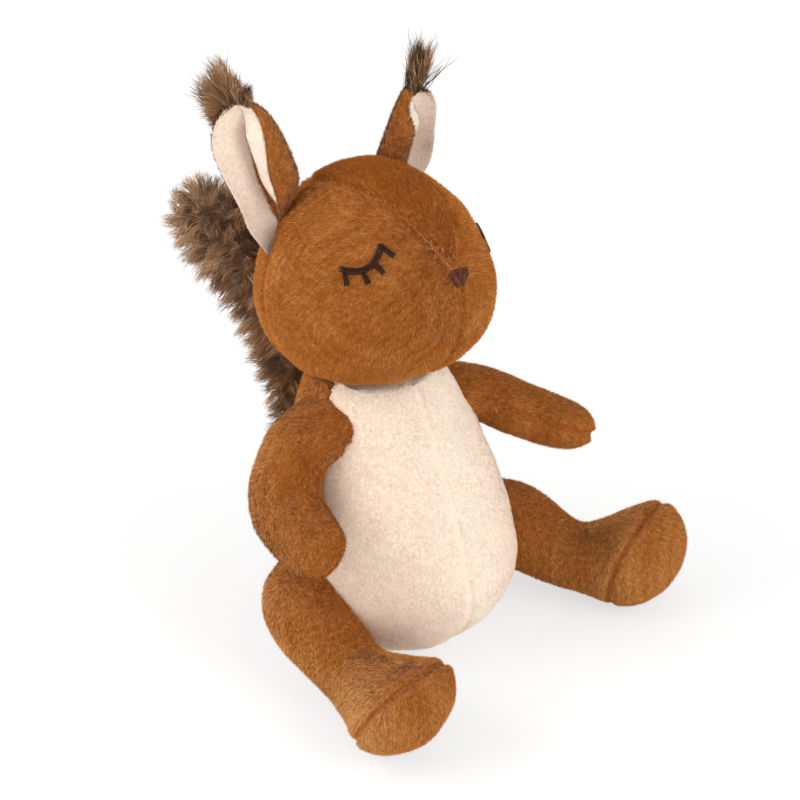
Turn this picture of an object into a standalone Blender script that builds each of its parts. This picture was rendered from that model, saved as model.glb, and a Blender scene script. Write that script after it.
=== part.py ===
"""Plush squirrel, sitting up with its legs forward, in metres with +Z up.

It faces -Y and its own left is +X. The origin is the middle of the flat base that it sits on.
Every skin is sewn from pieces of plush cloth, each a shell of its own round a stuffing, and
the seams lie where the pieces of one skin meet.
"""

import math

import bmesh
import bpy
from mathutils import Matrix, Vector

# Cloth and stuffing
PLUSH = 0.0022
SEAM_GAP = 0.0003
SEAM_SLACK = 1.4
SEAM_DIP = 0.0009
STUFFING_GAP = 0.0006

# Body, a pear that leans back
BODY_WIDTH = 0.088
BODY_DEPTH = 0.084
BODY_WIDEST = 0.031
NECK_WIDTH = 0.046
NECK_HEIGHT = 0.108
BASE_WIDTH = 0.036
BODY_ROUNDNESS = 1.75
BODY_LEAN = 11.0
BELLY_TURN = 80.0

# Head, turned to its left, tipped up and rolled a little to its left
HEAD_WIDTH = 0.078
HEAD_DEPTH = 0.0865
HEAD_HEIGHT = 0.0796
HEAD_CHEEKS = 0.175
HEAD_RISE = 0.0319
HEAD_BACK = 0.0021
HEAD_ASIDE = 0.0006
HEAD_TURN = 9.0
HEAD_TIP = 17.5
HEAD_ROLL = 8.5
HEAD_FULLNESS = 2.1
GUSSET_TURN = 28.0
SIDE_SEAM = 116.0
NOSE_HOLE = 2.5

# Nose and closed eyes, embroidered
NOSE_WIDTH = 0.0066
NOSE_HEIGHT = 0.0074
NOSE_THICK = 0.0012
STITCH_WIDTH = 0.0020
STITCH_THICK = 0.0012
EYE_SPAN = 0.0160
EYE_SAG = 0.0046
LASH_LENGTH = 0.0048
RIGHT_EYE_OUT = 52.5
RIGHT_EYE_TURN = 68.0
LEFT_EYE_OUT = 56.0
LEFT_EYE_TURN = 75.0
EYE_TILT = -28.0

# Ears
RIGHT_EAR_TURN = 54.0
LEFT_EAR_TURN = 48.0
EAR_FACING = (0.55, -0.85, 0.10)
EAR_HEIGHT = 0.045
EAR_WIDTH = 0.0255
EAR_TIP_WIDTH = 0.006
EAR_FOLD = 0.011
EAR_LINING = 0.0018
LINING_GAP = 0.0007
LINING_SHARE = 0.86
LEFT_TUFT_LENGTH = 0.020
RIGHT_TUFT_LENGTH = 0.018
TUFT_WIDTH = 0.019
TUFT_THICK = 0.010
LEFT_TUFT_LEAN = 0.2
RIGHT_TUFT_LEAN = 0.75
TUFT_LOCKS = 5

# Arms
ARM_REACH = 0.040
ARM_WIDTH = 0.028
ARM_THICK = 0.021
ARM_ROOT_WIDTH = 0.031
PAW_WIDTH = 0.025
SHOULDER_HEIGHT = 0.083
SHOULDER_TURN = 84.0

# Legs
LEG_REACH = 0.060
THIGH_WIDTH = 0.033
ANKLE_WIDTH = 0.0265
FOOT_WIDTH = 0.043
SOLE_BULGE = 0.0170
ANKLE_LIFT = 0.0018
FLOOR_GAP = 0.0002
HIP_HEIGHT = 0.026
HIP_TURN = 90.0

# Tail of long fur
TAIL_REACH = 0.100
TAIL_ROOT_WIDTH = 0.0265
TAIL_WIDTH = 0.036
TAIL_FUR = 0.0060
TAIL_LOCK = 0.0024
TAIL_ROOT_HEIGHT = 0.030


def turned(degrees):
    return math.radians(degrees)


def spread(start, end, count):
    """count + 1 values from start to end, evenly apart."""
    return [start + (end - start) * step / count for step in range(count + 1)]


def spline(points, share):
    """A point on the smooth curve through the points, share of the way along."""
    place = share * (len(points) - 1)
    first = min(int(place), len(points) - 2)
    part = place - first
    before = points[max(first - 1, 0)]
    start = points[first]
    end = points[first + 1]
    after = points[min(first + 2, len(points) - 1)]
    return 0.5 * (
        2 * start
        + (end - before) * part
        + (2 * before - 5 * start + 4 * end - after) * part**2
        + (3 * start - before - 3 * end + after) * part**3
    )


def cloth(name, colour, roughness=0.9):
    material = bpy.data.materials.new(name)
    material.use_nodes = True
    shader = material.node_tree.nodes["Principled BSDF"]
    shader.inputs["Base Color"].default_value = (*colour, 1)
    shader.inputs["Roughness"].default_value = roughness
    shader.inputs["Metallic"].default_value = 0
    return material


BROWN = cloth("brown_plush", (0.33, 0.12, 0.03))
CREAM = cloth("cream_plush", (0.90, 0.70, 0.58))
TAUPE = cloth("taupe_fur", (0.19, 0.12, 0.08))
THREAD = cloth("embroidery_thread", (0.04, 0.015, 0.01), 0.6)
NOSE_THREAD = cloth("nose_thread", (0.13, 0.04, 0.025), 0.6)
FIBRE = cloth("stuffing_fibre", (0.85, 0.85, 0.85))


def new_object(name, mesh_data, material):
    """Makes the object of a bmesh, with its faces out and its doubles merged."""
    bmesh.ops.remove_doubles(mesh_data, verts=mesh_data.verts, dist=0.000002)
    bmesh.ops.dissolve_degenerate(mesh_data, edges=mesh_data.edges, dist=0.000002)
    bmesh.ops.recalc_face_normals(mesh_data, faces=mesh_data.faces)
    mesh = bpy.data.meshes.new(name)
    mesh_data.to_mesh(mesh)
    mesh_data.free()
    mesh.shade_smooth()
    mesh.set_sharp_from_angle(angle=turned(50))
    thing = bpy.data.objects.new(name, mesh)
    thing.data.materials.append(material)
    bpy.context.collection.objects.link(thing)
    return thing


def add_grid(mesh_data, rows):
    """Adds the rows of points as vertices, and a face in each cell between them."""
    grid = [[mesh_data.verts.new(point) for point in row] for row in rows]
    for low, high in zip(grid, grid[1:]):
        for left in range(len(low) - 1):
            corners = (low[left], low[left + 1], high[left + 1], high[left])
            mesh_data.faces.new(corners)
    return grid


def shell(name, rows, lining_rows, material):
    """A piece of cloth: its face, its back, and the cut edge between the two."""
    mesh_data = bmesh.new()
    face = add_grid(mesh_data, rows)
    back = add_grid(mesh_data, lining_rows)

    def border(grid):
        sides = [row[-1] for row in grid[1:-1]]
        return grid[0] + sides + grid[-1][::-1] + [row[0] for row in grid[-2:0:-1]]

    outer = border(face)
    inner = border(back)
    for place in range(len(outer)):
        corners = (outer[place - 1], outer[place], inner[place], inner[place - 1])
        mesh_data.faces.new(corners)
    return new_object(name, mesh_data, material)


def lump(name, rings, material):
    """A closed solid through closed rings of points, with both ends capped."""
    mesh_data = bmesh.new()
    grid = add_grid(mesh_data, [ring + ring[:1] for ring in rings])
    mesh_data.faces.new(grid[0][:-1])
    mesh_data.faces.new(grid[-1][:-1][::-1])
    return new_object(name, mesh_data, material)


def hide(thing):
    thing.hide_render = True
    thing.display_type = "WIRE"
    return thing


def cut(thing, cutter, operation="DIFFERENCE"):
    boolean = thing.modifiers.new("seat_on_" + cutter.name, "BOOLEAN")
    boolean.operation = operation
    boolean.object = cutter
    boolean.solver = "EXACT"
    boolean.use_self = True


class Body:
    """The pear of the body, by a turn round it from the front and a step up it."""

    low_steps = 6
    high_steps = 7
    front_steps = 6
    back_steps = 7

    def profile(self, step, depth):
        """Half width, half depth and height at a step up the body."""
        low = self.low_steps
        if step <= low:
            rise = turned(90 * step / low)
            base = BASE_WIDTH / 2
            share = math.sin(rise) ** BODY_ROUNDNESS
            half_width = base + (BODY_WIDTH / 2 - depth - base) * share
            half_depth = base + (BODY_DEPTH / 2 - depth - base) * share
            height = depth + (BODY_WIDEST - depth) * (1 - math.cos(rise))
            return half_width, half_depth, height
        climb = (step - low) / self.high_steps
        share = math.cos(turned(90 * climb))
        neck = NECK_WIDTH / 2 - depth
        half_width = neck + (BODY_WIDTH / 2 - depth - neck) * share
        half_depth = neck + (BODY_DEPTH / 2 - depth - neck) * share
        return half_width, half_depth, BODY_WIDEST + (NECK_HEIGHT - BODY_WIDEST) * climb

    def centre(self, height):
        return Vector((0, math.tan(turned(BODY_LEAN)) * max(height - BODY_WIDEST, 0), height))

    def point(self, turn, step, depth=0.0):
        half_width, half_depth, height = self.profile(step, depth)
        aside = Vector((half_width * math.sin(turned(turn)), -half_depth * math.cos(turned(turn)), 0))
        return self.centre(height) + aside

    def on_skin(self, turn, height, depth=0.0):
        climb = (height - BODY_WIDEST) / (NECK_HEIGHT - BODY_WIDEST) * self.high_steps
        if climb < 0:
            step = math.degrees(math.acos(1 - height / BODY_WIDEST)) / 90 * self.low_steps
            return self.point(turn, step, depth)
        return self.point(turn, self.low_steps + climb, depth)

    def turns(self, start, end, count):
        """Turns between two seams, each held off its seam by half of the gap."""
        off = math.degrees(SEAM_GAP / BODY_WIDTH)
        off *= SEAM_SLACK
        return [start + off, *spread(start, end, count)[1:-1], end - off]


class Head:
    """The ball of the head, by a turn round the nose from the top and an angle away from the nose."""

    gusset_steps = 3
    cheek_steps = 11
    face_steps = 10
    back_steps = 5

    def __init__(self):
        tip = Matrix.Rotation(turned(-HEAD_TIP), 3, "X")
        roll = Matrix.Rotation(turned(HEAD_ROLL), 3, "Y")
        self.axes = Matrix.Rotation(turned(HEAD_TURN), 3, "Z") @ tip @ roll
        self.middle = body.centre(NECK_HEIGHT) + Vector((HEAD_ASIDE, HEAD_BACK, HEAD_RISE))

    def way(self, turn, away):
        """The direction of a place on the head, as seen from the middle of the head."""
        across = math.sin(turned(away))
        local = Vector(
            (
                across * math.sin(turned(turn)),
                -math.cos(turned(away)),
                across * math.cos(turned(turn)),
            )
        )
        return local

    def point(self, turn, away, depth=0.0):
        local = self.way(turn, away)
        power = HEAD_FULLNESS
        size = sum(abs(part) ** power for part in local) ** (-1 / power)
        radii = (HEAD_WIDTH / 2 - depth, HEAD_DEPTH / 2 - depth, HEAD_HEIGHT / 2 - depth)
        spot = Vector([size * part * radius for part, radius in zip(local, radii)])
        cheeks = 1 - HEAD_CHEEKS * size * local.z
        spot.x *= cheeks
        spot.y *= cheeks
        return self.middle + self.axes @ spot

    def out(self, turn, away):
        """The way out of the cloth at a place on the head."""
        step = 0.5
        spot = self.point(turn, away)
        across = self.point(turn + step, away) - spot
        back = self.point(turn, away + step) - spot
        out = across.cross(back).normalized()
        return out if out.dot(spot - self.middle) > 0 else -out

    def turns(self, start, end, count, away):
        """Turns between two seams at an angle from the nose, held off each by half of the gap."""
        across = HEAD_WIDTH / 2 * max(math.sin(turned(away)), 0.02)
        off = math.degrees(SEAM_GAP / 2 / across) * SEAM_SLACK
        off = min(off, (end - start) / 4)
        return [start + off, *spread(start, end, count)[1:-1], end - off]


def body_skin():
    """Belly and back in two halves each, from the base up to the neck, and the round base."""
    last = body.low_steps + body.high_steps
    halves = (
        ("belly_left", 0, BELLY_TURN, body.front_steps, CREAM),
        ("belly_right", -BELLY_TURN, 0, body.front_steps, CREAM),
        ("back_left", BELLY_TURN, 180, body.back_steps, BROWN),
        ("back_right", -180, -BELLY_TURN, body.back_steps, BROWN),
    )
    for name, start, end, count, material in halves:
        turns = body.turns(start, end, count)
        faces = []
        for depth, roll in ((0.0, SEAM_DIP), (PLUSH, 0.0)):
            rows = []
            for step in range(last + 1):
                edge = 0.12 if step == 0 else step
                rows.append(
                    [
                        body.point(turn, edge, depth + (roll if place in (0, count) else 0))
                        for place, turn in enumerate(turns)
                    ]
                )
            faces.append(rows)
        piece = shell(name, *faces, material)
        cut(piece, head_room)

    radius = BASE_WIDTH / 2 - SEAM_GAP
    rings = []
    for share, height in ((0.5, 0), (1, 0), (1, PLUSH), (0.5, PLUSH)):
        ring_turns = spread(0, 360, body.front_steps + body.back_steps)[:-1]
        rings.append(
            [
                Vector(
                    (
                        share * radius * math.sin(turned(turn)),
                        -share * radius * math.cos(turned(turn)),
                        height,
                    )
                )
                for turn in ring_turns
            ]
        )
    lump("seat_base", rings, BROWN)


def body_lump(name, depth, spacing, material):
    """The body as one closed solid: its stuffing, or the room that a limb keeps clear of."""
    last = body.low_steps + body.high_steps
    front = spread(-BELLY_TURN, BELLY_TURN, 2 * body.front_steps)
    back = spread(BELLY_TURN, 360 - BELLY_TURN, 2 * body.back_steps)
    turns = (front[:-1] + back[:-1])[::spacing]
    steps = list(range(0, last, spacing)) + [last]
    rings = [[body.point(turn, step, depth) for turn in turns] for step in steps]
    return lump(name, rings, material)


def head_skin():
    """Forehead gusset, two cheeks that meet under the chin, and two back pieces."""
    aways = spread(NOSE_HOLE, SIDE_SEAM, head.face_steps)
    side_off = math.degrees(SEAM_GAP / HEAD_WIDTH) * SEAM_SLACK
    aways[-1] -= side_off
    faces = (
        ("head_forehead", -GUSSET_TURN, GUSSET_TURN, 2 * head.gusset_steps),
        ("head_cheek_left", GUSSET_TURN, 180, head.cheek_steps),
        ("head_cheek_right", -180, -GUSSET_TURN, head.cheek_steps),
    )
    for name, start, end, count in faces:
        sides = []
        for depth, roll in ((0.0, SEAM_DIP), (PLUSH, 0.0)):
            rows = []
            for row, away in enumerate(aways):
                edge_row = row == head.face_steps
                rows.append(
                    [
                        head.point(turn, away, depth + (roll if edge_row or place in (0, count) else 0))
                        for place, turn in enumerate(head.turns(start, end, count, away))
                    ]
                )
            sides.append(rows)
        shell(name, *sides, BROWN)

    back_aways = spread(SIDE_SEAM, 179.5, head.back_steps)
    back_aways[0] += side_off
    turns_up = spread(0, GUSSET_TURN, head.gusset_steps)[:-1]
    turns_down = spread(GUSSET_TURN, 180, head.cheek_steps)
    turns = turns_up + turns_down
    for name, side in (("head_back_left", 1), ("head_back_right", -1)):
        sides = []
        for depth, roll in ((0.0, SEAM_DIP), (PLUSH, 0.0)):
            rows = []
            for row, away in enumerate(back_aways):
                points = []
                for place, turn in enumerate(turns):
                    edge = row == 0 or place in (0, len(turns) - 1)
                    spot = head.point(side * turn, away, depth + (roll if edge else 0))
                    local = head.axes.inverted() @ (spot - head.middle)
                    local.x = side * max(side * local.x, SEAM_GAP / 2)
                    points.append(head.middle + head.axes @ local)
                rows.append(points)
            sides.append(rows)
        shell(name, *sides, BROWN)


def head_lump(name, depth, spacing, material):
    """The head as one closed solid: its stuffing, or the room that its neighbours keep clear of."""
    gusset = spread(-GUSSET_TURN, GUSSET_TURN, 2 * head.gusset_steps)
    cheeks = spread(GUSSET_TURN, 360 - GUSSET_TURN, 2 * head.cheek_steps)
    turns = (gusset[:-1] + cheeks[:-1])[::spacing]
    aways = spread(NOSE_HOLE, SIDE_SEAM, head.face_steps)
    aways = (aways + spread(SIDE_SEAM, 177, head.back_steps)[1:])[::spacing]
    rings = [[head.point(turn, away, depth) for turn in turns] for away in aways]
    return lump(name, rings, material)


class Limb:
    """A stuffed tube along a smooth path, with a round end: an arm, a leg or the tail."""

    def __init__(self, path, widths, outward, steps, end_length, end_steps, end_way=None, flat=1.0):
        self.path = path
        self.flat = flat
        self.radii = [width / 2 for width in widths]
        self.outward = Vector(outward)
        self.steps = steps
        self.end_length = end_length
        self.end_steps = end_steps
        self.end_way = end_way

    def frame(self, share):
        """Middle, way along, way outward, and the way across both."""
        small = 0.01
        along = spline(self.path, min(share + small, 1)) - spline(self.path, max(share - small, 0))
        along.normalize()
        if self.end_way:
            swing = max(0, share - 0.6) / 0.4
            along = along.lerp(Vector(self.end_way).normalized(), swing).normalized()
        outward = (self.outward - along * self.outward.dot(along)).normalized()
        return spline(self.path, share), along, outward, along.cross(outward)

    def ring(self, step, turns, depth, lump_height=None):
        """Points round the tube at a step along it. Steps past the path make the round end."""
        share = min(step / self.steps, 1)
        middle, along, outward, across = self.frame(share)
        half_width = spline(self.radii, share) - depth
        half_thick = spline(self.radii, share) * self.flat - depth
        closing = 1
        if step > self.steps:
            lean = turned(90 * (step - self.steps) / self.end_steps)
            middle = middle + along * (self.end_length - depth) * math.sin(lean)
            closing = max(math.cos(lean), 0.0001)
        points = []
        for turn in turns:
            more = lump_height(step, turn) if lump_height else 0
            up = outward * math.cos(turned(turn)) * (half_thick + more)
            aside = across * math.sin(turned(turn)) * (half_width + more)
            points.append(middle + (up + aside) * closing)
        return points

    def panel(self, name, start, end, count, first, last, material, thick=PLUSH, lumps=None):
        """One piece of cloth of the tube, between two turns and two steps."""
        sides = []
        off = math.degrees(SEAM_GAP / self.radii[1] / self.flat)
        turns = [start + off, *spread(start, end, count)[1:-1], end - off]
        steps = [first, *range(math.ceil(first + 0.01), math.ceil(last)), last]
        whole = self.steps + self.end_steps
        for depth, roll in ((0.0, SEAM_DIP), (thick, 0.0)):
            rows = []
            for row, step in enumerate(steps):
                seam_row = (row == 0 and first > 0) or (row == len(steps) - 1 and last < whole)
                points = self.ring(step, turns, depth, None if depth else lumps)
                rolled = self.ring(step, turns, depth + roll)
                for place in range(len(turns)):
                    if seam_row or place in (0, count):
                        points[place] = rolled[place]
                rows.append(points)
            sides.append(rows)
        if last >= whole:
            _, _, outward, across = self.frame(1)
            middle_turn = turned((start + end) / 2)
            aside = outward * math.cos(middle_turn) + across * math.sin(middle_turn)
            aside *= SEAM_GAP if end - start < 359 else 0
            for rows in sides:
                rows[-1] = [rows[-1][count // 2] + aside] * (count + 1)
        return shell(name, *sides, material)

    def solid(self, name, depth, count, material, first=0):
        turns = spread(0, 360, count)[:-1]
        whole = self.steps + self.end_steps
        steps = [*range(first, whole), whole - 0.4]
        rings = [self.ring(step, turns, depth) for step in steps]
        return lump(name, rings, material)


def arm(side, name, way):
    """An upper and an under piece, sewn along both edges round the paw, over stuffing."""
    shoulder = body.on_skin(side * SHOULDER_TURN, SHOULDER_HEIGHT)
    path = [shoulder + Vector(share) * ARM_REACH for share in way]
    widths = [ARM_ROOT_WIDTH, ARM_WIDTH, ARM_WIDTH, PAW_WIDTH]
    flat = ARM_THICK / ARM_WIDTH
    limb = Limb(path, widths, (side * 0.6, 0, 0.8), 9, PAW_WIDTH * 0.46, 3, None, flat)
    whole = limb.steps + limb.end_steps
    outer = limb.panel(name + "_outer", -90, 90, 6, 0, whole, BROWN)
    inner = limb.panel(name + "_inner", 90, 270, 6, 0, whole, BROWN)
    filling = limb.solid(name + "_filling", PLUSH + STUFFING_GAP, 6, FIBRE)
    for piece in (outer, inner, filling):
        cut(piece, body_room)
        cut(piece, head_room)


def leg(side, name, way, sole_way):
    """One piece wrapped round the leg and closed underneath, and a round sole, over stuffing."""
    hip = body.on_skin(side * HIP_TURN, HIP_HEIGHT)
    path = [hip + Vector(share) * LEG_REACH for share in way]
    path[-1].z = FOOT_WIDTH / 2 + FLOOR_GAP
    path[-2].z = ANKLE_WIDTH / 2 + ANKLE_LIFT
    widths = [THIGH_WIDTH * 0.9, THIGH_WIDTH, ANKLE_WIDTH, FOOT_WIDTH]
    limb = Limb(path, widths, (0, 0, 1), 10, SOLE_BULGE, 4, sole_way)
    seam = limb.steps
    gap = SEAM_GAP / 2 / SOLE_BULGE
    skin = limb.panel(name + "_skin", -180, 180, 14, 0, seam - gap, BROWN)
    limb.panel(name + "_sole", -180, 180, 14, seam + 2 * gap, seam + limb.end_steps, BROWN)
    filling = limb.solid(name + "_filling", PLUSH + STUFFING_GAP, 7, FIBRE)
    for piece in (skin, filling):
        cut(piece, body_room)


def tail():
    """Two halves of long fur, sewn down the front and the back, over stuffing."""
    root = body.on_skin(180, TAIL_ROOT_HEIGHT)
    way = (
        (0, -0.12, -0.03),
        (-0.015, 0.13, 0.20),
        (-0.005, 0.18, 0.46),
        (-0.03, 0.31, 0.77),
        (-0.12, 0.54, 1),
    )
    path = [root + Vector(share) * TAIL_REACH for share in way]
    lower_width = (TAIL_ROOT_WIDTH + TAIL_WIDTH) / 2
    widths = [TAIL_ROOT_WIDTH, TAIL_ROOT_WIDTH, lower_width, TAIL_WIDTH, TAIL_WIDTH]
    limb = Limb(path, widths, (1, 0, 0), 14, TAIL_WIDTH * 0.55, 4)
    whole = limb.steps + limb.end_steps

    def locks(step, turn):
        """The heads and gaps of the locks of fur, in rows that are set half a lock apart."""
        fade = min(1, max(0, (whole - step) / 2))
        return TAIL_LOCK * fade * math.sin(turned(4 * turn + 180 * (step % 2)))

    for side_name, start in (("tail_left", -90), ("tail_right", 90)):
        piece = limb.panel(side_name, start, start + 180, 8, 0, whole, TAUPE, TAIL_FUR, locks)
        cut(piece, body_room)
    filling = limb.solid("tail_filling", TAIL_FUR + STUFFING_GAP, 8, FIBRE)
    cut(filling, body_room)


def ear(side, name, turn, lean, tuft_length, tuft_lean):
    """A cupped brown leaf with a smaller cream leaf inside it, sewn into the side seam."""
    base = head.point(turn, SIDE_SEAM)
    up = Vector(lean).normalized()
    facing = Vector(EAR_FACING)
    facing.x *= side
    facing = (facing - up * facing.dot(up)).normalized()
    across = up.cross(facing)

    def leaf(rise, aside, forward, share):
        """A point of the leaf: rise from base to tip, aside from edge to edge."""
        swell = math.sin(turned(180 * min(rise * 0.66 + 0.30, 1))) ** 0.8
        half_width = EAR_TIP_WIDTH / 2 + (EAR_WIDTH - EAR_TIP_WIDTH) / 2 * swell
        half_width *= share
        fold = EAR_FOLD * swell * (aside * share) ** 2
        height = EAR_HEIGHT * (rise - (1 - share) * 0.2 * max(rise - 0.5, 0))
        return base + up * height + across * half_width * aside + facing * (fold + forward)

    layers = (
        ("_outer", -PLUSH, 0.0, 1.0, BROWN),
        ("_lining", LINING_GAP, LINING_GAP + EAR_LINING, LINING_SHARE, CREAM),
    )
    for suffix, back, front, share, material in layers:
        rises = spread(-0.35, 1, 7)
        asides = spread(-1, 1, 6)
        rows = [[leaf(rise, aside, front, share) for aside in asides] for rise in rises]
        under = [[leaf(rise, aside, back, share) for aside in asides] for rise in rises]
        piece = shell(name + suffix, rows, under, material)
        cut(piece, head_room)

    droop = (up + across * side * tuft_lean).normalized()
    root = leaf(1, 0, 0, 1) + up * SEAM_GAP
    tuft(name + "_tuft", root, (up, droop, facing, across), tuft_length)


def tuft(name, root, ways, length):
    """A lock of long fur that flares from the ear's tip and ends in points."""
    up, droop, facing, across = ways
    heights = (0.0, 0.16, 0.42, 0.70, 0.90)
    widths = (0.42, 0.95, 1.0, 0.66, 0.34)
    rings = []
    count = 3 * TUFT_LOCKS
    for height, width in zip(heights, widths):
        ring = []
        for place in range(count):
            peak = place % 3 == 0
            turn = turned(360 * place / count + 50 * height)
            reach = TUFT_WIDTH / 2 * width * (1.0 if peak else 1 - 0.45 * height)
            rise = length * (height + (0.14 * height if peak else 0))
            way = across * math.cos(turn) + facing * math.sin(turn) * TUFT_THICK / TUFT_WIDTH
            axis = up.lerp(droop, min(1, 3 * height))
            ring.append(root + axis * rise + way * reach)
        rings.append(ring)
    return lump(name, rings, TAUPE)


def thread_line(name, spots, ways_out, width, thick, material):
    """A raised line of stitches along spots of the cloth, flat underneath and round on top."""
    section = ((-0.5, 0.15), (0.5, 0.15), (0.38, 0.8), (0.0, 1.0), (-0.38, 0.8))
    rings = []
    for place, spot in enumerate(spots):
        ahead = spots[min(place + 1, len(spots) - 1)] - spots[max(place - 1, 0)]
        out = ways_out[place]
        aside = ahead.cross(out).normalized()
        rings.append([spot + aside * width * wide + out * thick * high for wide, high in section])
    return lump(name, rings, material)


def eye(side, name, turn, out_turn):
    """A closed eye: an arc that sags in the middle, and four lashes below it."""
    spot = head.point(turn, out_turn)
    out = head.out(turn, out_turn)
    up = (head.axes @ Vector((0, 0, 1)) - out * out.dot(head.axes @ Vector((0, 0, 1)))).normalized()
    right = out.cross(up)
    tilt = Matrix.Rotation(turned(side * EYE_TILT), 3, out)
    up = tilt @ up
    right = tilt @ right

    def place(aside, rise):
        """The spot of the cloth at a distance aside and up from the middle of the eye."""
        target = spot + right * aside + up * rise - head.middle
        local = head.axes.inverted() @ target
        away = math.degrees(math.acos(-local.y / local.length))
        around = math.degrees(math.atan2(local.x, local.z))
        for _ in range(6):
            error = target - (head.point(around, away) - head.middle)
            error -= out * error.dot(out)
            local += head.axes.inverted() @ error
            away = math.degrees(math.acos(-local.y / local.length))
            around = math.degrees(math.atan2(local.x, local.z))
        way_out = head.out(around, away)
        return head.point(around, away) + way_out * SEAM_GAP, way_out

    def line(piece_name, pairs, width):
        placed = [place(*pair) for pair in pairs]
        spots = [found[0] for found in placed]
        ways = [found[1] for found in placed]
        return thread_line(piece_name, spots, ways, width, STITCH_THICK, THREAD)

    half = EYE_SPAN / 2
    arc = [(half * share, -EYE_SAG * (1 - share**2)) for share in spread(-1, 1, 7)]
    lid = line(name, arc, STITCH_WIDTH)
    for number, share in enumerate((-0.92, -0.34, 0.26, 0.90)):
        start = (half * share, -EYE_SAG * (1 - share**2) + STITCH_WIDTH * 0.1)
        end = (start[0] + LASH_LENGTH * 0.45 * share, start[1] - LASH_LENGTH)
        lash = line(f"{name}_lash_{number}", (start, end), STITCH_WIDTH * 0.8)
        cut(lid, hide(lash), "UNION")


def nose():
    """A small raised triangle of satin stitch where the gusset and the cheeks meet."""
    tip = head.point(0, 0.01)
    out = head.out(0, NOSE_HOLE)
    up = head.axes @ Vector((0, 0, 1))
    up = (up - out * out.dot(up)).normalized()
    right = up.cross(out)
    half = NOSE_WIDTH / 2
    corners = (
        (-half, NOSE_HEIGHT * 0.38),
        (half, NOSE_HEIGHT * 0.38),
        (half * 0.95, NOSE_HEIGHT * 0.12),
        (0.12 * half, -NOSE_HEIGHT * 0.60),
        (-0.12 * half, -NOSE_HEIGHT * 0.60),
        (-half * 0.95, NOSE_HEIGHT * 0.12),
    )
    rings = []
    for share, height in ((1.0, SEAM_GAP), (1.0, 0.6 * NOSE_THICK), (0.6, NOSE_THICK)):
        ring = []
        for aside, rise in corners:
            away = math.hypot(aside, rise)
            fall = away**2 / HEAD_WIDTH * (1 if height > SEAM_GAP else 0)
            ring.append(tip + right * aside * share + up * rise * share + out * (height - fall))
        rings.append(ring)
    return lump("nose", rings, NOSE_THREAD)


for leftover in list(bpy.data.objects):
    bpy.data.objects.remove(leftover)

body = Body()
head = Head()
head_room = hide(head_lump("head_room", -SEAM_GAP, 1, FIBRE))
body_room = hide(body_lump("body_room", -SEAM_GAP, 1, FIBRE))

body_skin()
body_filling = body_lump("body_filling", PLUSH + STUFFING_GAP, 2, FIBRE)
cut(body_filling, head_room)
head_skin()
head_lump("head_filling", PLUSH + STUFFING_GAP, 2, FIBRE)

arm(
    -1,
    "arm_right",
    ((0.35, 0.075, 0.175), (-0.10, 0.075, 0.075), (-0.38, -0.085, -0.295), (-0.47, -0.63, -0.45)),
)
arm(
    1,
    "arm_left",
    ((-0.35, 0.10, 0.05), (0.075, -0.05, 0), (0.40, -0.35, -0.175), (0.70, -0.625, -0.31)),
)
leg(
    -1,
    "leg_right",
    ((0.20, 0.10, 0.05), (-0.02, -0.067, 0.033), (-0.017, -0.55, 0), (-0.05, -0.983, 0)),
    (0.14, -0.84, -0.50),
)
leg(
    1,
    "leg_left",
    ((-0.20, 0.10, 0), (0.092, -0.042, -0.033), (0.325, -0.408, 0), (0.558, -0.708, 0)),
    (0.34, -0.91, -0.22),
)
tail()
ear(-1, "ear_right", -RIGHT_EAR_TURN, (-0.17, 0.22, 0.96), RIGHT_TUFT_LENGTH, RIGHT_TUFT_LEAN)
ear(1, "ear_left", LEFT_EAR_TURN, (0.05, -0.33, 0.93), LEFT_TUFT_LENGTH, LEFT_TUFT_LEAN)
eye(-1, "eye_right", -RIGHT_EYE_TURN, RIGHT_EYE_OUT)
eye(1, "eye_left", LEFT_EYE_TURN, LEFT_EYE_OUT)
nose()
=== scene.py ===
"""Sitting plush squirrel: stuffed forms with sewn seams, cut pile, long fur and embroidery."""

import math

import bmesh
import bpy
import numpy as np
from mathutils import Matrix, Vector
from mathutils.bvhtree import BVHTree
from mathutils.kdtree import KDTree


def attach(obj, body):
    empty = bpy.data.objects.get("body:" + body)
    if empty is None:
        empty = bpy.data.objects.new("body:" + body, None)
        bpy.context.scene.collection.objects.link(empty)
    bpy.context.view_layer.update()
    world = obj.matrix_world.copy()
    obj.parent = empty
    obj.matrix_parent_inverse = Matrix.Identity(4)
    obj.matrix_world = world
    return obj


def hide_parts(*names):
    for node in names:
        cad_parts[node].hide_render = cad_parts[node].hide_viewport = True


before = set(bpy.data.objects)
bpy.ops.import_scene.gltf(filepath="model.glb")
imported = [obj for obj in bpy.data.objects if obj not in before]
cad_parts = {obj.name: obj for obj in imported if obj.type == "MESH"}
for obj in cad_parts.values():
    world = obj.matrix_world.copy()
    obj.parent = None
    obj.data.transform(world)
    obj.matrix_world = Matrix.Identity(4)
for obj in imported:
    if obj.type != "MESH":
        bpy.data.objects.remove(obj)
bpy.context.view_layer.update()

# ---------------------------------------------------------------- Viewpoint and light
# The toy is seen from above and from its own right, through a long lens at one metre.
# It sits on a pale floor in soft studio light: one broad lamp in front on the right, one
# behind on the left that lights the rims, and an even pale room round it.
view_turn = math.radians(-38)
view_rise = math.radians(32)
towards_viewer = Vector(
    (
        math.sin(view_turn) * math.cos(view_rise),
        -math.cos(view_turn) * math.cos(view_rise),
        math.sin(view_rise),
    )
)
view_right = Vector((math.cos(view_turn), math.sin(view_turn), 0))
view_up = towards_viewer.cross(view_right)
view_middle = Vector((0, 0, 0.036)) + view_up * 0.0504 - view_right * 0.00036
VIEW_DISTANCE = 1.0
bpy.ops.object.camera_add(location=view_middle + towards_viewer * VIEW_DISTANCE)
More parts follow.
